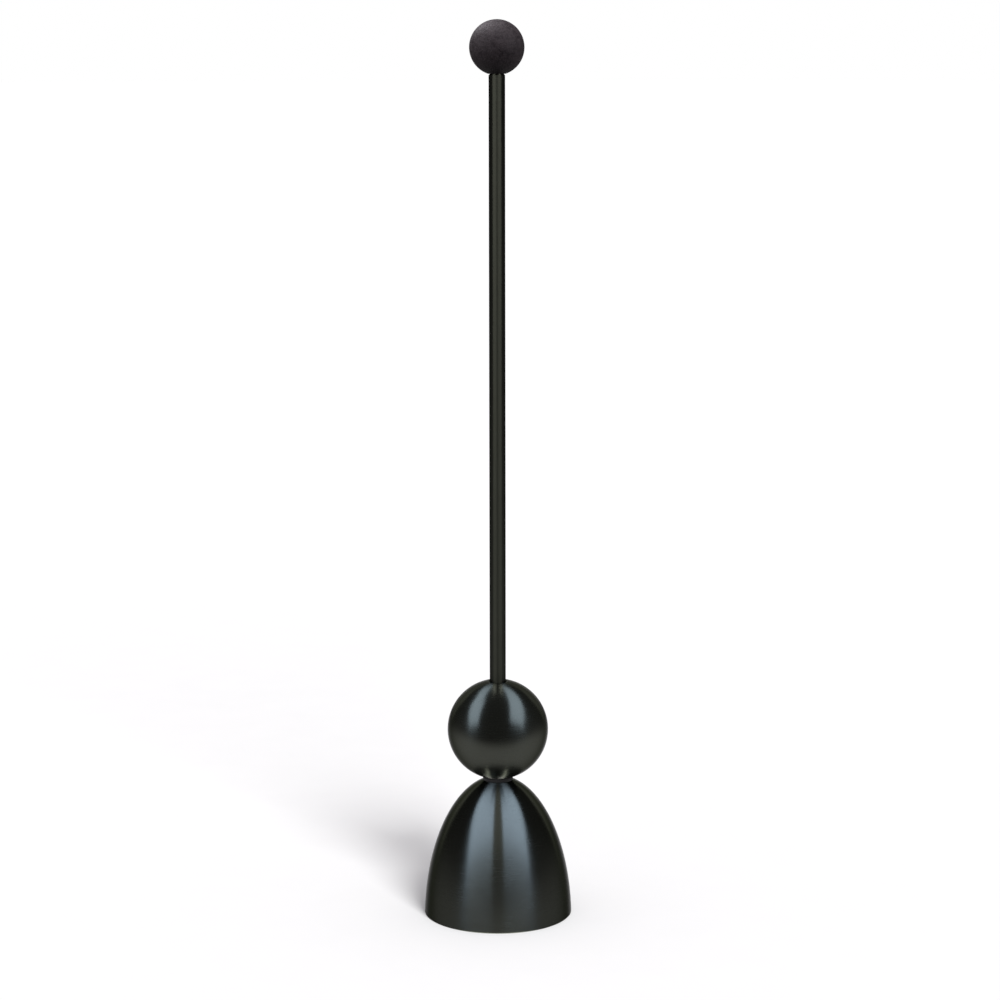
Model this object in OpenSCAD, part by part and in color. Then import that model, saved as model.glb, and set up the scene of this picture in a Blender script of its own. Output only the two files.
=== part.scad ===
// Drop-weight egg topper: a bell with a sharp rim stands on the egg, a bored ball is lifted up
// the guide rod and let go, and the blow on the crown of the bell cracks the shell round the rim.
// +Z is up. The origin is the centre of the rim, on the plane that the rim stands on.

/* [Bell] */
// Outside diameter of the bell at its rim
rim_d = 44.5; // [40:0.5:52]
// Height of the bell from the rim to the flat land on its crown
bell_h = 41.2; // [34:0.2:52]
// Depth below the rim plane at which the bell's outline would be widest
flare_drop = 2.2; // [0.5:0.1:6]
// Diameter of the flat land on the crown
land_d = 9; // [8:0.5:12]
// Wall of the bell at the rim
rim_wall = 1.3; // [1.1:0.1:2.5]
// Thickness of the crown between the land and the nut's seat
crown_t = 4; // [3:0.5:7]
// Width of the flat ring that the rim stands on
rim_land = 0.5; // [0.3:0.1:0.6]
// Chamfer on the outer edge of the rim
rim_chamfer = 0.25; // [0.1:0.05:0.4]
// Height of the bevel inside the rim
rim_bevel_h = 1.2; // [0.6:0.1:3]

/* [Strike washer] */
// Thickness of the washer that the ball strikes
strike_t = 0.9; // [0.6:0.1:2]
// Rounding of the washer's edges, as a chamfer
strike_edge = 0.15; // [0.05:0.05:0.25]

/* [Guide rod] */
// Diameter of the rod that the ball slides on
rod_d = 4.8; // [4:0.1:5.2]
// Length of the rod between the strike washer and the knob
rod_l = 209.5; // [120:0.5:240]
// Chamfer at both ends of the sliding length
rod_chamfer = 0.4; // [0.1:0.05:0.5]
// Diameter of the threaded end at the top and at the bottom
thread_d = 3; // [2.5:0.1:3.4]
// Length of the threaded end that stands into the knob
knob_stud_l = 6.5; // [5:0.5:8]
// Length of thread that shows past the nut
thread_over = 1; // [0.5:0.1:2]
// Width of the run-out groove beside each shoulder
undercut_w = 0.8; // [0.4:0.1:1.1]
// Depth of the run-out groove
undercut_depth = 0.3; // [0.1:0.05:0.5]

/* [Drop ball] */
// Diameter of the ball
ball_d = 30.2; // [24:0.2:36]
// Diameter of the flat at each end of the ball's bore
ball_flat_d = 6.4; // [5.8:0.1:8]
// Gap all round between the rod and the ball's bore
ball_clearance = 0.15; // [0.05:0.05:0.2]
// Chamfer at each mouth of the bore
bore_chamfer = 0.3; // [0.1:0.05:0.35]

/* [Knob] */
// Diameter of the round knob
knob_d = 16; // [13:0.5:22]
// Diameter of the flat under the knob, where the rod's shoulder meets it
knob_flat_d = 5.2; // [5:0.1:8]
// Plastic left between the knob's flat and its threaded insert
insert_cover = 1; // [0.6:0.1:2]
// Outside diameter of the threaded insert
insert_d = 5; // [4.6:0.1:6]
// Length of the threaded insert
insert_l = 7.5; // [7:0.5:9]
// Thickness of the insert's closed end
insert_end_t = 1; // [0.5:0.1:1.4]
// Width of the groove that locks the insert in the plastic
lock_groove_w = 1.6; // [0.8:0.1:2.4]
// Depth of that groove
lock_groove_depth = 0.4; // [0.2:0.05:0.5]

/* [Nut and spring washer] */
// Size of the nut across its flats
nut_af = 5.5; // [5.5:0.1:6.4]
// Height of the nut
nut_h = 2.4; // [1.8:0.1:3.2]
// Radial width of the spring washer's section
spring_w = 1.3; // [1:0.1:1.6]
// Thickness of the spring washer
spring_t = 0.8; // [0.6:0.1:1.2]
// Width of the spring washer's split
split_w = 0.5; // [0.3:0.1:1]
// Slope of the split from the washer's axis
split_angle = 20; // [0:1:30]

/* [Fits] */
// Gap all round between the lower threaded end and the plain holes that it passes through
hole_clearance = 0.1; // [0.05:0.05:0.2]
// Gap all round between a threaded end and the thread that holds it
thread_clearance = 0.02; // [0.01:0.01:0.05]
// Gap all round between the fasteners and the round seat cut for them inside the crown
seat_clearance = 1.2; // [0.6:0.1:2]

/* [Hidden] */
$fn = 128;
// How far a cutting shape runs past the face that it cuts, and a joined one into its neighbour
past = 1;
// Chamfer on the tips of the threaded ends and on the insert's outer corners
tip_chamfer = 0.4;
// Countersink at each mouth of a threaded hole
thread_sink = 0.25;
// Slope of the chamfer on the nut's corners
nut_bevel_angle = 30;

rim_r = rim_d / 2;
inner_rim_r = rim_r - rim_wall;
rod_r = rod_d / 2;
thread_r = thread_d / 2;
hole_r = thread_r + hole_clearance;
tapped_r = thread_r + thread_clearance;
ball_r = ball_d / 2;
bore_r = rod_r + ball_clearance;
knob_r = knob_d / 2;
insert_r = insert_d / 2;
spring_r = hole_r + spring_w;
nut_corner_r = nut_af / 2 / cos(30);
seat_r = max(spring_r, nut_corner_r) + seat_clearance;

// Height of a sphere's flat above or below its centre
function flat_height(sphere_r, flat_d) = sqrt(pow(sphere_r, 2) - pow(flat_d / 2, 2));

seat_z = bell_h - crown_t;
rod_foot_z = bell_h + strike_t;
ball_half_h = flat_height(ball_r, ball_flat_d);
ball_z = rod_foot_z + ball_half_h;
knob_face_z = rod_foot_z + rod_l;
knob_z = knob_face_z + flat_height(knob_r, knob_flat_d);
insert_z = knob_face_z + insert_cover;
spring_z = seat_z - spring_t;
nut_z = spring_z - nut_h;
bell_stud_l = rod_foot_z - nut_z + thread_over;

coated_steel = [0.10, 0.10, 0.10];
black_plastic = [0.13, 0.12, 0.13];
brass_colour = [0.78, 0.62, 0.32];
bright_steel = [0.72, 0.72, 0.70];

// Half axes [across, up] of the ellipse whose centre lies drop below the base, and which passes
// base_r from the axis at the base and top_r from the axis at height h
function ogive_axes(base_r, top_r, h, drop) =
    let (
        low = pow(drop, 2),
        high = pow(h + drop, 2),
        det = pow(base_r, 2) * high - pow(top_r, 2) * low
    )
    [sqrt(det / (high - low)), sqrt(det / (pow(base_r, 2) - pow(top_r, 2)))];

// Distance of that ellipse from the axis at height z
function ogive_r(axes, drop, z) = axes.x * sqrt(1 - pow((z + drop) / axes.y, 2));

outer_axes = ogive_axes(rim_r, land_d / 2, bell_h, flare_drop);
inner_axes = ogive_axes(inner_rim_r, 0, seat_z, flare_drop);

// The whole ellipse, with its centre drop below the base
module ogive_outline(axes, drop) {
    translate([0, -drop])
        scale([axes.x / axes.y, 1])
            circle(r = axes.y);
}

// Right half of a disc centred on the origin, cut flat low_h below it and high_h above it
module flatted_half_disc(sphere_r, low_h, high_h) {
    intersection() {
        circle(r = sphere_r);
        translate([0, -low_h])
            square([sphere_r, low_h + high_h]);
    }
}

// Half section of a plain washer with broken edges, standing on z = 0
module washer_section(inner_r, outer_r, t, edge) {
    polygon([
        [inner_r + edge, 0], [outer_r - edge, 0], [outer_r, edge],
        [outer_r, t - edge], [outer_r - edge, t], [inner_r + edge, t],
        [inner_r, t - edge], [inner_r, edge]
    ]);
}

// Threaded end that stands up from the rod's shoulder on z = 0, with its run-out groove at the
// foot; it is rooted a little way inside the rod
module threaded_end(length) {
    root_r = thread_r - undercut_depth;
    rotate_extrude()
        polygon([
            [0, -past], [root_r, -past], [root_r, undercut_w],
            [thread_r, undercut_w + undercut_depth],
            [thread_r, length - tip_chamfer], [thread_r - tip_chamfer, length], [0, length]
        ]);
}

// Outline of the threaded insert without its hole, standing on z = 0
module insert_section() {
    groove_low = (insert_l - lock_groove_w) / 2;
    groove_high = groove_low + lock_groove_w;
    groove_r = insert_r - lock_groove_depth;
    polygon([
        [0, 0], [insert_r - tip_chamfer, 0], [insert_r, tip_chamfer],
        [insert_r, groove_low], [groove_r, groove_low], [groove_r, groove_high],
        [insert_r, groove_high], [insert_r, insert_l - tip_chamfer],
        [insert_r - tip_chamfer, insert_l], [0, insert_l]
    ]);
}

// What a countersink removes at a threaded hole's lower mouth, which lies on z = 0
module countersink_section() {
    polygon([
        [0, -past], [tapped_r + thread_sink + past, -past],
        [tapped_r, thread_sink], [0, thread_sink]
    ]);
}

// The turned shell: an outer and an inner half ellipse on one centre line, so that the wall grows
// from the thin rim to the heavy crown, with a flat land, a bore, a nut seat and a bevelled rim
module bell() {
    bevel_r = rim_r - rim_chamfer - rim_land;
    bevel_top_r = ogive_r(inner_axes, flare_drop, rim_bevel_h);
    color(coated_steel)
        rotate_extrude()
            difference() {
                intersection() {
                    ogive_outline(outer_axes, flare_drop);
                    square([rim_r + past, bell_h]);
                }
                ogive_outline(inner_axes, flare_drop);
                square([hole_r, bell_h + past]);
                square([seat_r, seat_z]);
                polygon([[0, 0], [bevel_r, 0], [bevel_top_r, rim_bevel_h], [0, rim_bevel_h]]);
                translate([rim_r - rim_chamfer, 0])
                    polygon([[0, 0], [rim_chamfer, rim_chamfer], [rim_chamfer + past, 0]]);
            }
}

// Thin disc on the crown's land: the ball lands on it and the rod's shoulder clamps it
module strike_washer() {
    color(black_plastic)
        translate([0, 0, bell_h])
            rotate_extrude()
                washer_section(hole_r, land_d / 2, strike_t, strike_edge);
}

// Plain sliding length between two shoulders, with a threaded end beyond each
module guide_rod() {
    color(coated_steel)
        translate([0, 0, rod_foot_z]) {
            rotate_extrude()
                polygon([
                    [0, 0], [rod_r - rod_chamfer, 0], [rod_r, rod_chamfer],
                    [rod_r, rod_l - rod_chamfer], [rod_r - rod_chamfer, rod_l], [0, rod_l]
                ]);
            translate([0, 0, rod_l])
                threaded_end(knob_stud_l);
            rotate([180, 0, 0])
                threaded_end(bell_stud_l);
        }
}

// Solid ball with a bore for the rod and a small flat round each mouth
module drop_ball() {
    color(coated_steel)
        translate([0, 0, ball_z])
            rotate_extrude()
                difference() {
                    flatted_half_disc(ball_r, ball_half_h, ball_half_h);
                    translate([0, -ball_half_h - past])
                        square([bore_r, 2 * (ball_half_h + past)]);
                    for (end = [1, -1])
                        scale([1, end])
                            polygon([
                                [0, ball_half_h - bore_chamfer], [bore_r, ball_half_h - bore_chamfer],
                                [bore_r + bore_chamfer, ball_half_h], [0, ball_half_h]
                            ]);
                }
}

// Round grip, moulded round its threaded insert
module knob() {
    color(black_plastic)
        translate([0, 0, knob_z])
            rotate_extrude()
                difference() {
                    flatted_half_disc(knob_r, knob_z - knob_face_z, knob_r);
                    translate([0, insert_z - knob_z])
                        insert_section();
                    translate([0, knob_face_z - knob_z - past])
                        square([hole_r, insert_cover + 2 * past]);
                }
}

// Blind threaded bush, closed at the top to keep the plastic out of its thread
module knob_insert() {
    color(brass_colour)
        translate([0, 0, insert_z])
            rotate_extrude()
                difference() {
                    insert_section();
                    countersink_section();
                    translate([0, -past])
                        square([tapped_r, insert_l - insert_end_t + past]);
                }
}

// Split ring, pressed flat between the nut and its seat
module spring_washer() {
    color(bright_steel)
        translate([0, 0, spring_z])
            difference() {
                cylinder(r = spring_r, h = spring_t);
                translate([0, 0, -past])
                    cylinder(r = hole_r, h = spring_t + 2 * past);
                translate([spring_r / 2 + past, 0, spring_t / 2])
                    rotate([split_angle, 0, 0])
                        cube([spring_r + 2 * past, split_w, 2 * (spring_t + past)], center = true);
            }
}

// Hexagon nut, chamfered on both faces
module hex_nut() {
    bevel_h = (nut_corner_r - nut_af / 2) * tan(nut_bevel_angle);
    color(bright_steel)
        translate([0, 0, nut_z])
            intersection() {
                cylinder(r = nut_corner_r, h = nut_h, $fn = 6);
                rotate_extrude()
                    difference() {
                        polygon([
                            [0, 0], [nut_af / 2, 0], [nut_corner_r, bevel_h],
                            [nut_corner_r, nut_h - bevel_h], [nut_af / 2, nut_h], [0, nut_h]
                        ]);
                        countersink_section();
                        translate([0, nut_h])
                            mirror([0, 1])
                                countersink_section();
                        translate([0, -past])
                            square([tapped_r, nut_h + 2 * past]);
                    }
            }
}

bell();
strike_washer();
guide_rod();
drop_ball();
knob();
knob_insert();
spring_washer();
hex_nut();
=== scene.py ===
"""Looks of the egg topper: black-coated turned steel, a matte knob and bright fasteners inside the bell."""
import math

import bpy
from mathutils import Matrix, Vector


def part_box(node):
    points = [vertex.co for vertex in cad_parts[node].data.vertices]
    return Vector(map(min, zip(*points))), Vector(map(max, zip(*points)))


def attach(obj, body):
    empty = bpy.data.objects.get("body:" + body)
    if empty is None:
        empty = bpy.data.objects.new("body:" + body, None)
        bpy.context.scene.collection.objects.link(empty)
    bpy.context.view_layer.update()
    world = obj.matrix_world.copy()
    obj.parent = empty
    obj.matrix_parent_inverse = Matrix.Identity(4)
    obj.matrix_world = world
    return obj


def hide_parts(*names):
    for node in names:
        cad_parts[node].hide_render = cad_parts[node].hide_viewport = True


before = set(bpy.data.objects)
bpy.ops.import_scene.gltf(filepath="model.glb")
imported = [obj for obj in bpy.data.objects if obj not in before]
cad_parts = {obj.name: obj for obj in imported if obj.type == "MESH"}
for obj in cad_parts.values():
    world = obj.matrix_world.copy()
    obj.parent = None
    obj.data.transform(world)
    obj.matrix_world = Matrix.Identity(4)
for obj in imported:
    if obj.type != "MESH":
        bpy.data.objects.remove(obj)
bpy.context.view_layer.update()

MM = 0.001

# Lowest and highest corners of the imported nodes, in metres
BELL_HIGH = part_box("bell")[1]
WASHER_LOW, WASHER_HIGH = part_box("strike_washer")
ROD_LOW, ROD_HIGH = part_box("guide_rod")
BALL_LOW, BALL_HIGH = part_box("drop_ball")
KNOB_LOW, KNOB_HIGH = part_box("knob")
INSERT_LOW, INSERT_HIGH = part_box("knob_insert")
SPRING_LOW, SPRING_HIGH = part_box("spring_washer")
NUT_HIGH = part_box("hex_nut")[1]

# Heights of the rod's two shoulders, which stand on the disc and carry the knob
FOOT_Z = WASHER_HIGH[2]
HEAD_Z = KNOB_LOW[2]

# Sizes inside the pieces, which their boxes don't show. The bell's outside and inside are ellipses
# about the axis, and their centre lies FLARE_DROP below the rim
RIM_R = 22.25 * MM
RIM_WALL = 1.3 * MM
RIM_LAND = 0.5 * MM
RIM_CHAMFER = 0.25 * MM
RIM_BEVEL_H = 1.2 * MM
FLARE_DROP = 2.2 * MM
LAND_R = 4.5 * MM
HOLE_R = 1.6 * MM
NUT_SEAT_R = 4.38 * MM
ROD_R = 2.4 * MM
ROD_CHAMFER = 0.4 * MM
THREAD_R = 1.5 * MM
TIP_CHAMFER = 0.4 * MM
UNDERCUT_W = 0.8 * MM
UNDERCUT_DEPTH = 0.3 * MM
BALL_R = 15.1 * MM
BALL_BORE_R = 2.55 * MM
BALL_MOUTH_CHAMFER = 0.3 * MM
KNOB_R = 8 * MM

# Thread grooves: the groove's depth over its width is a ramp, cut off at the crest and at the root
THREAD_PITCH = 0.5 * MM
THREAD_DEPTH = 0.3 * MM
THREAD_TO_SHOULDER = 1.2 * MM
THREAD_R_TOLERANCE = 0.02 * MM
GROOVE_RAMP = 1.25
GROOVE_CREST = 0.1

# Radii of the broken edges
METAL_EDGE = 0.06 * MM
DISC_EDGE = 0.2 * MM
KNOB_EDGE = 0.12 * MM

# Fineness of the meshes: facets round the axis, and steps along an outline
TURN_SEGMENTS = 192
FLOOR_SEGMENTS = 96
BELL_OUTER_STEPS = 110
BELL_INNER_STEPS = 80
BALL_STEPS = 150
KNOB_STEPS = 110
THREAD_STEPS_PER_PITCH = 14

# Rounded corners: their steps, the least turn in degrees, and the most that they take of a side
CORNER_STEPS = 4
CORNER_LEAST_TURN = 25
CORNER_SIDE_SHARE = 0.4

# Degrees from which an edge is shown sharp, and the radius below which a ring is one point
SHARP_ANGLE = 40
POINT_R = 1e-9


# ---------------------------------------------------------------- camera

# Metres, degrees and, for the lens and the sensor, millimetres
CAMERA_PLACE = (0.00094, -0.8075, 0.2663)
CAMERA_PITCH = 9.81
CAMERA_ROLL = 0.08
CAMERA_LENS = 99.5
CAMERA_SENSOR = 36
CAMERA_CLIP = (0.01, 50)


def make_camera():
    data = bpy.data.cameras.new("camera")
    data.lens = CAMERA_LENS
    data.sensor_width = CAMERA_SENSOR
    data.clip_start, data.clip_end = CAMERA_CLIP
    camera = bpy.data.objects.new("camera", data)
    camera.location = CAMERA_PLACE
    camera.rotation_euler = (math.radians(90 - CAMERA_PITCH), math.radians(CAMERA_ROLL), 0)
    bpy.context.scene.collection.objects.link(camera)
    bpy.context.scene.camera = camera


# ---------------------------------------------------------------- outlines and turned meshes


def ellipse_axes(base_r, top_r, height, drop):
    """Half axes (across, up) of the ellipse centred drop below the base, through both given points."""
    low, high = drop**2, (height + drop) ** 2
    det = base_r**2 * high - top_r**2 * low
    return math.sqrt(det / (high - low)), math.sqrt(det / (base_r**2 - top_r**2))


def arc(axes, centre_z, low_z, high_z, steps):
    """Points (r, z) on an ellipse about the axis, evenly spaced in angle from low_z up to high_z."""
    start, end = (math.asin(max(-1, min(1, (z - centre_z) / axes[1]))) for z in (low_z, high_z))
    angles = [start + (end - start) * i / steps for i in range(steps + 1)]
    return [(axes[0] * math.cos(a), centre_z + axes[1] * math.sin(a)) for a in angles]


def round_corners(points, radius):
    """Replaces each sharp corner of an open outline by a short curve."""
    out = [points[0]]
    for before, here, after in zip(points, points[1:], points[2:]):
        a = (before[0] - here[0], before[1] - here[1])
        b = (after[0] - here[0], after[1] - here[1])
        a_length, b_length = math.hypot(*a), math.hypot(*b)
        cosine = (a[0] * b[0] + a[1] * b[1]) / a_length / b_length
        turn = math.pi - math.acos(max(-1, min(1, cosine)))
        if math.degrees(turn) < CORNER_LEAST_TURN:
            out.append(here)
            continue
        cut = min(radius * math.tan(turn / 2), CORNER_SIDE_SHARE * a_length, CORNER_SIDE_SHARE * b_length)
        start = (here[0] + a[0] / a_length * cut, here[1] + a[1] / a_length * cut)
        end = (here[0] + b[0] / b_length * cut, here[1] + b[1] / b_length * cut)
        for i in range(CORNER_STEPS + 1):
            t = i / CORNER_STEPS
            weights = ((1 - t) ** 2, 2 * t * (1 - t), t**2)
            out.append(tuple(sum(w * p[k] for w, p in zip(weights, (start, here, end))) for k in (0, 1)))
    return out + [points[-1]]


def turned(name, outline, closed=True, segments=TURN_SEGMENTS, radius_at=None):
    """Revolves an outline of (r, z) points about the Z axis. radius_at(r, z, angle) may vary the radius."""
    verts, rings = [], []
    for r, z in outline:
        if r < POINT_R:
            rings.append([len(verts)])
            verts.append((0, 0, z))
            continue
        rings.append(range(len(verts), len(verts) + segments))
        for i in range(segments):
            angle = 2 * math.pi * i / segments
            here = radius_at(r, z, angle) if radius_at else r
            verts.append((here * math.cos(angle), here * math.sin(angle), z))
    faces = []
    for low, high in zip(rings, rings[1:] + (rings[:1] if closed else [])):
        for i in range(segments):
            j = (i + 1) % segments
            if len(low) == 1:
                faces.append((low[0], high[j], high[i]))
            elif len(high) == 1:
                faces.append((low[i], low[j], high[0]))
            else:
                faces.append((low[i], low[j], high[j], high[i]))
    mesh = bpy.data.meshes.new(name)
    mesh.from_pydata(verts, [], faces)
    mesh.validate()
    mesh.update()
    for polygon in mesh.polygons:
        polygon.use_smooth = True
    mesh.set_sharp_from_angle(angle=math.radians(SHARP_ANGLE))
    piece = bpy.data.objects.new(name, mesh)
    bpy.context.scene.collection.objects.link(piece)
    return piece


def dress(piece, material):
    """Gives a piece this one material."""
    piece.data.materials.clear()
    piece.data.materials.append(material)


def place(piece, body, node, material):
    """Dresses a piece, tells the frame its body, and hides the node that it stands in for."""
    dress(piece, material)
    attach(piece, body)
    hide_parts(node)
    return piece


# ---------------------------------------------------------------- materials

# The coating: its two shades, its tint where it is seen aslant, and how far its roughness sways
COAT_DARK = (0.0500, 0.0520, 0.0445)
COAT_LIGHT = (0.0530, 0.0555, 0.0475)
COAT_EDGE_TINT = (0.4, 0.4, 0.4, 1)
COAT_CLOUD_SWAY = 0.05
COAT_LINE_SWAY = 0.022

# A quarter turn, which draws reflections out along the meridians instead of round the axis
ALONG_MERIDIANS = 0.25

PLASTIC_IOR = 1.46

# Noise lies nearly all in this range
NOISE_LOW = 0.3
NOISE_HIGH = 0.7


class Shader:
    """A material's node tree with a Principled BSDF, and short calls for the nodes that feed it."""

    def __init__(self, name, **values):
        self.material = bpy.data.materials.new(name)
        self.material.use_nodes = True
        self.nodes = self.material.node_tree.nodes
        self.links = self.material.node_tree.links
        self.bsdf = next(n for n in self.nodes if n.type == "BSDF_PRINCIPLED")
        for key, value in values.items():
            self.bsdf.inputs[key.replace("_", " ")].default_value = value

    def add(self, kind, settings=None, **inputs):
        """Adds a node. Its sockets are called by name, with _ for a blank, or by number, as _0 or _1."""
        node = self.nodes.new("ShaderNode" + kind)
        for key, value in (settings or {}).items():
            setattr(node, key, value)
        for key, value in inputs.items():
            number = key[1:]
            socket = node.inputs[int(number) if number.isdigit() else key.replace("_", " ")]
            if hasattr(value, "links"):
                self.links.new(value, socket)
            else:
                socket.default_value = value
        return node

    def feed(self, key, socket):
        self.links.new(socket, self.bsdf.inputs[key])

    def noise(self, across, along=None, detail=3, roughness=0.5):
        """Noise with this many cells to a metre across the axis, and its own number along it if given."""
        coords = self.add("TexCoord").outputs["Object"]
        scale = (across, across, across if along is None else along)
        stretched = self.add("Mapping", Vector=coords, Scale=scale).outputs["Vector"]
        node = self.add("TexNoise", Vector=stretched, Scale=1.0, Detail=detail, Roughness=roughness)
        return node.outputs["Fac"]

    def between(self, socket, low, high, from_low=NOISE_LOW, from_high=NOISE_HIGH):
        """Maps a value from one range to another."""
        node = self.add(
            "MapRange", Value=socket, From_Min=from_low, From_Max=from_high, To_Min=low, To_Max=high
        )
        return node.outputs["Result"]

    def tint(self, socket, dark, light):
        """Mixes two colours by a value from 0 to 1."""
        node = self.add("Mix", {"data_type": "RGBA"}, Factor=socket, _6=(*dark, 1), _7=(*light, 1))
        return node.outputs[2]

    def bump(self, height, distance):
        return self.add("Bump", Height=height, Strength=1.0, Distance=distance).outputs["Normal"]


def coated_steel(name, tone, roughness, anisotropic, line_pitch, line_depth):
    """Black coating over turned steel: fine lines round the axis spread reflections along the meridians."""
    s = Shader(name, Metallic=1.0, Anisotropic=anisotropic, Anisotropic_Rotation=ALONG_MERIDIANS)
    s.bsdf.inputs["Specular Tint"].default_value = COAT_EDGE_TINT
    lines = s.noise(across=240, along=1 / line_pitch, detail=4, roughness=0.6)
    cloud = s.noise(across=90)
    dark = [tone * c for c in COAT_DARK]
    light = [tone * c for c in COAT_LIGHT]
    s.feed("Base Color", s.tint(s.between(cloud, 0, 1), dark, light))
    least, most = roughness * (1 - COAT_CLOUD_SWAY), roughness * (1 + COAT_CLOUD_SWAY)
    rough = s.add(
        "Math", {"operation": "ADD"},
        _0=s.between(cloud, low=least, high=most),
        _1=s.between(lines, low=-COAT_LINE_SWAY, high=COAT_LINE_SWAY),
    )
    s.feed("Roughness", rough.outputs[0])
    s.feed("Normal", s.bump(lines, line_depth))
    tangent = s.add("Tangent", {"direction_type": "RADIAL", "axis": "Z"})
    s.feed("Tangent", tangent.outputs[0])
    return s.material


def moulded_black(name, dark, light, specular, grain_depth):
    """Matte moulded plastic with a fine spark-eroded grain."""
    s = Shader(name, Metallic=0.0, IOR=PLASTIC_IOR, Specular_IOR_Level=specular)
    grain = s.noise(across=850, roughness=0.7)
    cloud = s.noise(across=160, detail=4)
    mottle = s.add(
        "Math", {"operation": "ADD"},
        _0=s.between(cloud, low=0, high=0.25),
        _1=s.between(grain, low=0, high=0.75),
    )
    s.feed("Base Color", s.tint(mottle.outputs[0], dark, light))
    s.feed("Roughness", s.between(grain, low=0.52, high=0.66))
    s.feed("Normal", s.bump(grain, grain_depth))
    return s.material


def turned_brass(name):
    """Bare brass with fine lines round the axis."""
    s = Shader(name, Metallic=1.0, Anisotropic=0.5)
    lines = s.noise(across=30, along=9000)
    cloud = s.noise(across=300)
    s.feed("Base Color", s.tint(s.between(cloud, 0, 1), dark=(0.66, 0.46, 0.19), light=(0.76, 0.56, 0.26)))
    s.feed("Roughness", s.between(lines, low=0.2, high=0.36))
    s.feed("Normal", s.bump(lines, distance=0.01 * MM))
    return s.material


def bright_steel(name):
    """Bare steel, slightly clouded."""
    s = Shader(name, Metallic=1.0)
    cloud = s.noise(across=700, detail=4)
    s.feed("Base Color", s.tint(s.between(cloud, 0, 1), dark=(0.52, 0.52, 0.50), light=(0.66, 0.66, 0.64)))
    s.feed("Roughness", s.between(cloud, low=0.26, high=0.42))
    s.feed("Normal", s.bump(cloud, distance=0.02 * MM))
    return s.material


# ---------------------------------------------------------------- pieces


def make_bell():
    """Turned shell between two ellipses, with a flat land, a bored crown, a nut seat and a bevelled rim."""
    top = BELL_HIGH[2]
    seat = NUT_HIGH[2] + (SPRING_HIGH[2] - SPRING_LOW[2])
    outer = ellipse_axes(RIM_R, LAND_R, top, FLARE_DROP)
    inner = ellipse_axes(RIM_R - RIM_WALL, 0, seat, FLARE_DROP)
    bevel_r = RIM_R - RIM_CHAMFER - RIM_LAND
    seat_low = inner[1] * math.sqrt(1 - (NUT_SEAT_R / inner[0]) ** 2) - FLARE_DROP
    outline = (
        [(bevel_r, 0), (RIM_R - RIM_CHAMFER, 0)]
        + arc(outer, -FLARE_DROP, RIM_CHAMFER, top, BELL_OUTER_STEPS)
        + [(HOLE_R, top), (HOLE_R, seat), (NUT_SEAT_R, seat)]
        + arc(inner, -FLARE_DROP, RIM_BEVEL_H, seat_low, BELL_INNER_STEPS)[::-1]
        + [(bevel_r, 0)]
    )
    return turned("bell_shell", round_corners(outline, METAL_EDGE)[:-1])


def make_disc():
    """Flat ring with rounded edges."""
    low, high = WASHER_LOW[2], WASHER_HIGH[2]
    section = [(HOLE_R, low), (LAND_R, low), (LAND_R, high), (HOLE_R, high)]
    return turned("strike_disc", round_corners(section + section[:2], DISC_EDGE)[1:-1])


def thread_radius(low_z, high_z):
    """Radius of a threaded end: a helical groove that fades out at both ends."""

    def radius_at(r, z, angle):
        if abs(r - THREAD_R) > THREAD_R_TOLERANCE or not low_z < z < high_z:
            return r
        phase = (z / THREAD_PITCH - angle / (2 * math.pi)) % 1
        flank = 1 - abs(2 * phase - 1)
        fade = min(1, (z - low_z) / THREAD_PITCH, (high_z - z) / THREAD_PITCH)
        return r - THREAD_DEPTH * fade * min(1, max(0, GROOVE_RAMP * flank - GROOVE_CREST))

    return radius_at


def thread_rings(low_z, high_z):
    """Outline of a threaded end, in steps fine enough for its groove."""
    steps = int((high_z - low_z) / THREAD_PITCH * THREAD_STEPS_PER_PITCH)
    return [(THREAD_R, low_z + (high_z - low_z) * i / steps) for i in range(steps + 1)]


def make_rod():
    """The length that the ball slides on, between two shoulders with a threaded end beyond each."""
    root = THREAD_R - UNDERCUT_DEPTH
    tip = THREAD_R - TIP_CHAMFER
    low, high = ROD_LOW[2], ROD_HIGH[2]
    low_run = (low + TIP_CHAMFER, FOOT_Z - THREAD_TO_SHOULDER)
    high_run = (HEAD_Z + THREAD_TO_SHOULDER, high - TIP_CHAMFER)
    outline = (
        [(0, low), (tip, low)] + thread_rings(*low_run)
        + [(root, FOOT_Z - UNDERCUT_W), (root, FOOT_Z)]
        + [(ROD_R - ROD_CHAMFER, FOOT_Z), (ROD_R, FOOT_Z + ROD_CHAMFER)]
        + [(ROD_R, HEAD_Z - ROD_CHAMFER), (ROD_R - ROD_CHAMFER, HEAD_Z)]
        + [(root, HEAD_Z), (root, HEAD_Z + UNDERCUT_W)] + thread_rings(*high_run)
        + [(tip, high), (0, high)]
    )
    cut_low = thread_radius(*low_run)
    cut_high = thread_radius(*high_run)
    return turned(
        "rod", outline, closed=False,
        radius_at=lambda r, z, angle: (cut_low if z < FOOT_Z else cut_high)(r, z, angle),
    )


def make_ball():
    """Bored ball with chamfered mouths."""
    low, high = BALL_LOW[2], BALL_HIGH[2]
    mouth_r = BALL_BORE_R + BALL_MOUTH_CHAMFER
    section = (
        [(BALL_BORE_R, low + BALL_MOUTH_CHAMFER), (mouth_r, low)]
        + arc((BALL_R, BALL_R), (low + high) / 2, low, high, BALL_STEPS)
        + [(mouth_r, high), (BALL_BORE_R, high - BALL_MOUTH_CHAMFER)]
    )
    return turned("weight", round_corners(section + section[:2], METAL_EDGE)[1:-1])


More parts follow.
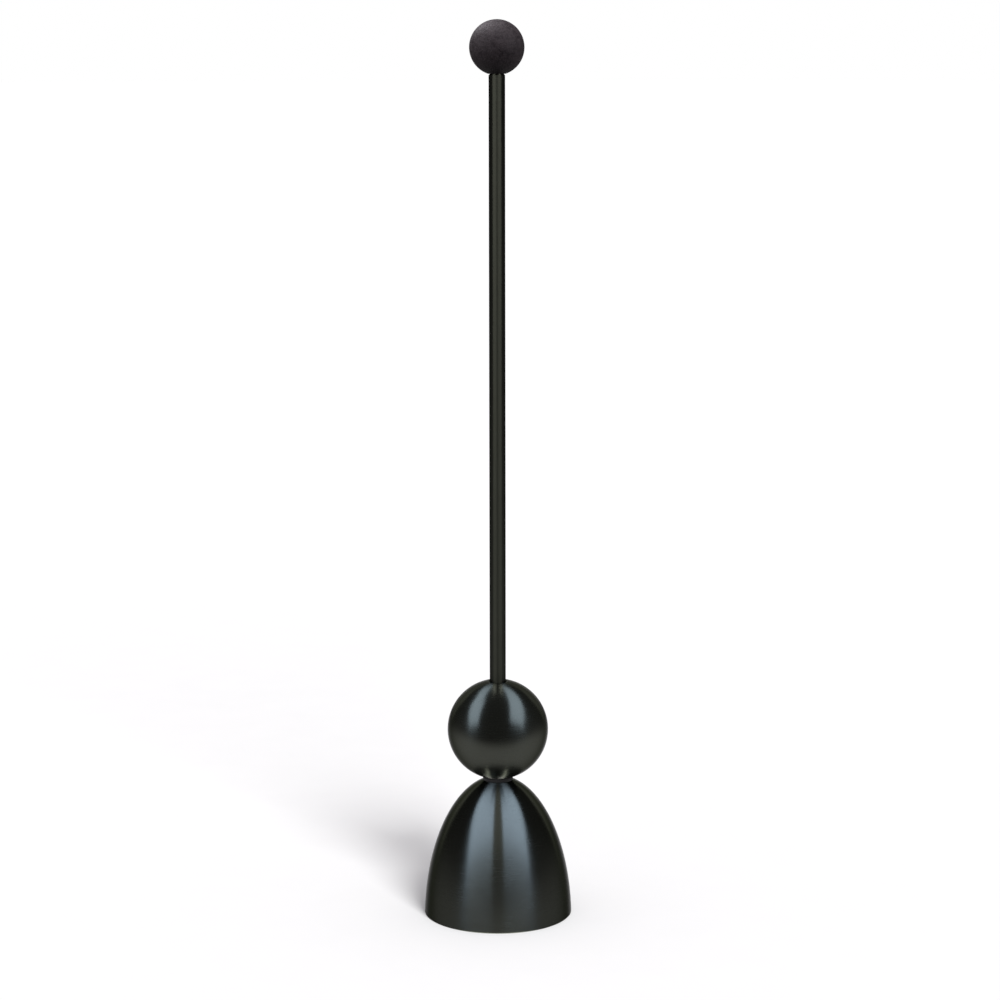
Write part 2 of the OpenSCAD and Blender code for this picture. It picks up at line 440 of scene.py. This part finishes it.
def make_knob():
    """Round grip, bored from below and open round the bush inside it."""
    insert_r = INSERT_HIGH[0]
    outline = (
        [(0, INSERT_HIGH[2]), (insert_r, INSERT_HIGH[2]), (insert_r, INSERT_LOW[2])]
        + [(HOLE_R, INSERT_LOW[2]), (HOLE_R, HEAD_Z)]
        + arc((KNOB_R, KNOB_R), KNOB_HIGH[2] - KNOB_R, HEAD_Z, KNOB_HIGH[2], KNOB_STEPS)
    )
    return turned("grip", round_corners(outline, KNOB_EDGE), closed=False)


# ---------------------------------------------------------------- floor and world

# Radii of the floor's rings, from its outer edge to the edge of its hole
FLOOR_RINGS = (12.0, 2.0, 0.5, 0.1, 0.018)

# The floor that reflections and bounced light meet, with painted shade: pale behind an edge, and paler near
# the part
BOUNCE_EDGE_Y = -0.14
BOUNCE_EDGE_BLUR = 0.02
BOUNCE_NEAR_R = 0.22
BOUNCE_FAR_R = 0.5
BOUNCE_FAR_SHARE = 0.2


def make_floor():
    """Pale floor, open under the bell and clear from below, so that the hollow can be seen into."""
    floor = turned("floor", [(r, 0) for r in FLOOR_RINGS], closed=False, segments=FLOOR_SEGMENTS)
    s = Shader("floor_paper", Roughness=0.9, Specular_IOR_Level=0.0)
    grain = s.noise(across=60, detail=2)
    s.feed("Base Color", s.tint(grain, dark=(0.93, 0.93, 0.93), light=(0.95, 0.95, 0.95)))
    coords = s.add("TexCoord").outputs["Object"]
    split = s.add("SeparateXYZ", Vector=coords)
    edge_range = (BOUNCE_EDGE_Y - BOUNCE_EDGE_BLUR, BOUNCE_EDGE_Y + BOUNCE_EDGE_BLUR)
    behind = s.between(split.outputs["Y"], 0.0, 1.0, *edge_range)
    away = s.add("VectorMath", {"operation": "LENGTH"}, _0=coords)
    near = s.between(away.outputs["Value"], 1.0, BOUNCE_FAR_SHARE, BOUNCE_NEAR_R, BOUNCE_FAR_R)
    lit = s.add("Math", {"operation": "MULTIPLY"}, _0=behind, _1=near)
    # Painted shade on the floor as reflections and bounced light see it: dark in front of the edge, dimmer
    # away from the part
    painted_bounce_shade = s.tint(lit.outputs[0], dark=(0.05, 0.05, 0.05), light=(0.96, 0.96, 0.95))
    bounce = s.add("BsdfDiffuse", Color=painted_bounce_shade)
    clear = s.add("BsdfTransparent")
    path = s.add("LightPath")
    facing = s.add("NewGeometry")
    seen = s.add("MixShader", Fac=path.outputs["Is Camera Ray"], _1=bounce.outputs[0], _2=s.bsdf.outputs[0])
    both = s.add("MixShader", Fac=facing.outputs["Backfacing"], _1=seen.outputs[0], _2=clear.outputs[0])
    out = next(n for n in s.nodes if n.type == "OUTPUT_MATERIAL")
    s.links.new(both.outputs[0], out.inputs["Surface"])
    dress(floor, s.material)
    return floor


def make_world(shown, lighting, reflected):
    """White to the camera, with its own strengths as a light and in reflections."""
    world = bpy.data.worlds.new("studio")
    bpy.context.scene.world = world
    world.use_nodes = True
    world.cycles.sampling_method = "NONE"
    nodes, links = world.node_tree.nodes, world.node_tree.links
    path = nodes.new("ShaderNodeLightPath")
    last = nodes["Background"]
    last.inputs["Color"].default_value = (*lighting, 1)
    for colour, kind in ((reflected, "Is Glossy Ray"), (shown, "Is Camera Ray")):
        back = nodes.new("ShaderNodeBackground")
        back.inputs["Color"].default_value = (*colour, 1)
        mix = nodes.new("ShaderNodeMixShader")
        links.new(path.outputs[kind], mix.inputs[0])
        links.new(last.outputs[0], mix.inputs[1])
        links.new(back.outputs[0], mix.inputs[2])
        last = mix
    links.new(last.outputs[0], nodes["World Output"].inputs["Surface"])


# ---------------------------------------------------------------- lights

LEFT, RIGHT = -1, 1
SIDES = (LEFT, RIGHT)
TO_RIGHT = (1, 0, 0)
TO_BACK = (0, 1, 0)
UP = (0, 0, 1)

# Tints of the soft boxes
BALL_COOL = (0.835, 1.0, 1.287)
BELL_COOL = (0.814, 1.0, 1.373)
WARM_GREY = (1.0, 1.0, 0.92)
PLUM_GREY = (1.0, 0.97, 1.02)
NEUTRAL = (1.0, 1.0, 0.94)


def lit_only(light, pieces, alone=False):
    """Lets a light reach these pieces only, and lets only them shade it where it works alone."""
    group = bpy.data.collections.new(light.name + "_lit")
    for piece in pieces:
        group.objects.link(piece)
    light.light_linking.receiver_collection = group
    if alone:
        light.light_linking.blocker_collection = group


def make_panel(name, centre, along, across, size, radiance, colour, pieces, alone=False):
    """A soft box: its first side runs across, its second one along, and it shines towards the part.

    Its power follows from its radiance and its size, so a larger box is not a dimmer one.
    """
    along = Vector(along).normalized()
    across = Vector(across)
    across = (across - along * across.dot(along)).normalized()
    facing = across.cross(along)
    if facing.dot(Vector(centre)) < 0:
        across, facing = -across, -facing
    data = bpy.data.lights.new(name, "AREA")
    data.shape = "RECTANGLE"
    data.size, data.size_y = size
    data.energy = radiance * math.pi * size[0] * size[1]
    data.color = colour
    light = bpy.data.objects.new(name, data)
    turn = Matrix((across, along, facing)).transposed().to_4x4()
    light.matrix_world = Matrix.Translation(Vector(centre)) @ turn
    light.visible_camera = False
    bpy.context.scene.collection.objects.link(light)
    lit_only(light, pieces, alone)


def make_sun(name, azimuth, elevation, width, strength, pieces):
    """A sun that nothing reflects. Its direction and its width are in degrees."""
    data = bpy.data.lights.new(name, "SUN")
    data.energy = strength
    data.angle = math.radians(width)
    light = bpy.data.objects.new(name, data)
    light.rotation_euler = (math.radians(90 - elevation), 0, math.radians(azimuth))
    light.visible_glossy = False
    bpy.context.scene.collection.objects.link(light)
    lit_only(light, pieces)


def light_ball(ball):
    """Broad boxes for the two streaks and the back, and narrow ones over the crest and under the belly."""
    make_panel(
        "ball_left", centre=(-1.166, -0.383, 0.939), along=(0.457, 0.717, 0.528),
        across=(0.567, -0.676, 0.428), size=(0.75, 1.56),
        radiance=4.0, colour=BALL_COOL, pieces=[ball],
    )
    make_panel(
        "ball_left_top", centre=(-0.5635, 0.683, 1.35), along=(0.437, 0.90, 0),
        across=(0.80, -0.39, 0.45), size=(0.42, 1.13),
        radiance=4.0, colour=BALL_COOL, pieces=[ball],
    )
    make_panel(
        "ball_right", centre=(0.56, 0.89, 1.88), along=(-0.01, 0.70, 0.714),
        across=(0.52, 0.60, -0.60), size=(0.53, 4.2),
        radiance=4.0, colour=BALL_COOL, pieces=[ball],
    )
    for side in SIDES:
        make_panel(
            f"ball_crest_{side}", centre=(side * 0.088, 0.57, 0.957), along=(0, 0.75, -0.35),
            across=TO_RIGHT, size=(0.05, 0.65),
            radiance=3.8, colour=NEUTRAL, pieces=[ball], alone=True,
        )
        make_panel(
            f"ball_under_{side}", centre=(side * 0.13 - 0.03, 0.50, -0.80),
            along=(side * -0.2, 0.75, 0.557), across=(1, 0.1, 0.1), size=(0.05, 0.8),
            radiance=6.5, colour=NEUTRAL, pieces=[ball], alone=True,
        )
    make_panel(
        "ball_back", centre=(0, 1.3, 0.52), along=UP, across=TO_RIGHT, size=(2.8, 1.0),
        radiance=0.8, colour=NEUTRAL, pieces=[ball],
    )


def light_bell(bell):
    """On each side a strip for the streak, with boxes for its foot and its top, and three for the rest."""
    for side, foot_radiance in ((LEFT, 1.10), (RIGHT, 0.60)):
        along = (side * -0.0336, 0.6697, 0.7423)
        across = (side * 0.8237, 0.3929, -0.3172)
        make_panel(
            f"bell_strip_{side}", centre=(side * 0.4967, -0.458, 0.752), along=along,
            across=across, size=(0.80, 1.0),
            radiance=8.5, colour=BELL_COOL, pieces=[bell], alone=True,
        )
        make_panel(
            f"bell_foot_{side}", centre=(side * 0.521, -0.937, 0.221), along=along,
            across=across, size=(0.80, 0.36),
            radiance=foot_radiance, colour=NEUTRAL, pieces=[bell], alone=True,
        )
        make_panel(
            f"bell_crest_{side}", centre=(side * 0.475, 0.03, 1.125),
            along=(side * -0.046, 0.50, -0.034), across=(side * 0.95, 0.08, -0.32), size=(0.46, 0.30),
            radiance=8.2, colour=BELL_COOL, pieces=[bell], alone=True,
        )
    make_panel(
        "bell_back", centre=(0, 1.3, 0.52), along=UP, across=TO_RIGHT, size=(3.4, 1.0),
        radiance=1.5, colour=NEUTRAL, pieces=[bell],
    )
    make_panel(
        "bell_middle", centre=(0, -0.32, 1.1), along=(0, 0.483, 0.875), across=TO_RIGHT, size=(0.26, 1.8),
        radiance=1.3, colour=NEUTRAL, pieces=[bell], alone=True,
    )
    make_panel(
        "bell_inside", centre=(0, 0, -0.8), along=TO_BACK, across=TO_RIGHT, size=(0.8, 0.8),
        radiance=16.0, colour=NEUTRAL, pieces=[bell], alone=True,
    )


def light_rod(rod):
    """Tall strips left and right, small boxes over the top end, and fills in front and behind."""
    for side, strip_radiance in ((LEFT, 2.40), (RIGHT, 2.10)):
        make_panel(
            f"rod_strip_{side}", centre=(side * 0.60, -0.80, 0.15), along=UP,
            across=(side * 0.80, 0.60, 0), size=(1.0, 1.6),
            radiance=strip_radiance, colour=WARM_GREY, pieces=[rod],
        )
        make_panel(
            f"rod_top_{side}", centre=(side * 0.35, 0.14, 1.19), along=(0, 0.9, 0.1),
            across=TO_RIGHT, size=(0.15, 0.4),
            radiance=12.9, colour=WARM_GREY, pieces=[rod], alone=True,
        )
    make_panel(
        "rod_middle", centre=(0, -1.0, 0.15), along=UP, across=TO_RIGHT, size=(0.36, 1.6),
        radiance=1.0, colour=WARM_GREY, pieces=[rod],
    )
    make_panel(
        "rod_back", centre=(0, 1.2, 0.2), along=UP, across=TO_RIGHT, size=(0.6, 1.6),
        radiance=2.2, colour=WARM_GREY, pieces=[rod],
    )


def light_fasteners(pieces):
    """A box under the open bell for what is fastened inside it."""
    make_panel(
        "nut_below", centre=(0.25, -0.15, -0.8), along=TO_BACK, across=TO_RIGHT, size=(0.8, 0.8),
        radiance=0.7, colour=NEUTRAL, pieces=pieces, alone=True,
    )


def light_knob(knob):
    """Strong boxes on both sides, above and behind, because the plastic is nearly black."""
    for side, side_radiance in ((LEFT, 12.2), (RIGHT, 15.8)):
        make_panel(
            f"knob_side_{side}", centre=(side * 0.75, -0.35, 0.62), along=UP,
            across=(0.4, side * 0.9, 0), size=(0.6, 0.6),
            radiance=side_radiance, colour=PLUM_GREY, pieces=[knob], alone=True,
        )
    make_panel(
        "knob_top", centre=(-0.25, 0.0, 1.25), along=TO_BACK, across=TO_RIGHT, size=(1.3, 1.3),
        radiance=11.8, colour=PLUM_GREY, pieces=[knob], alone=True,
    )
    make_panel(
        "knob_back", centre=(-0.60, 0.75, 1.05), along=(0, -0.6, 0.6), across=(0.8, 0.5, 0),
        size=(0.5, 0.5), radiance=22.0, colour=PLUM_GREY, pieces=[knob], alone=True,
    )


def light_disc(disc):
    """A box over the disc, for when the ball is lifted."""
    make_panel(
        "disc_top", centre=(-0.3, -0.35, 1.1), along=(0, 0.86, 0.5), across=TO_RIGHT, size=(0.4, 0.4),
        radiance=10.0, colour=PLUM_GREY, pieces=[disc], alone=True,
    )


# ---------------------------------------------------------------- build

make_camera()

steel_bell = coated_steel(
    "black_coat_bell", tone=0.62, roughness=0.255, anisotropic=0.95,
    line_pitch=0.35 * MM, line_depth=0.0004 * MM,
)
steel_ball = coated_steel(
    "black_coat_ball", tone=1.0, roughness=0.26, anisotropic=0.78,
    line_pitch=0.30 * MM, line_depth=0.0003 * MM,
)
steel_rod = coated_steel(
    "black_coat_rod", tone=0.62, roughness=0.36, anisotropic=0.8,
    line_pitch=0.25 * MM, line_depth=0.0005 * MM,
)
plastic_knob = moulded_black(
    "knob_plastic", dark=(0.0034, 0.0025, 0.0030), light=(0.0150, 0.0125, 0.0134),
    specular=0.048, grain_depth=0.22 * MM,
)
plastic_disc = moulded_black(
    "disc_plastic", dark=(0.022, 0.021, 0.021), light=(0.034, 0.033, 0.033),
    specular=0.2, grain_depth=0.01 * MM,
)
brass = turned_brass("brass_bush")
steel = bright_steel("bright_steel")

bell = place(make_bell(), "stand", "bell", steel_bell)
disc = place(make_disc(), "stand", "strike_washer", plastic_disc)
rod = place(make_rod(), "stand", "guide_rod", steel_rod)
ball = place(make_ball(), "drop_ball", "drop_ball", steel_ball)
knob = place(make_knob(), "stand", "knob", plastic_knob)

# The bush, the spring washer and the nut stay as the frame gives them, in their own materials
insert, spring, nut = (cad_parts[node] for node in ("knob_insert", "spring_washer", "hex_nut"))
dress(insert, brass)
dress(spring, steel)
dress(nut, steel)

floor = make_floor()
make_world(shown=(1, 1, 1), lighting=(0.53, 0.517, 0.533), reflected=(0.15, 0.15, 0.15))
make_sun("key", azimuth=21, elevation=32, width=23, strength=3.3, pieces=[floor])
light_ball(ball)
light_bell(bell)
light_rod(rod)
light_fasteners([rod, spring, nut])
light_knob(knob)
light_disc(disc)

bpy.context.scene.view_settings.view_transform = "Standard"
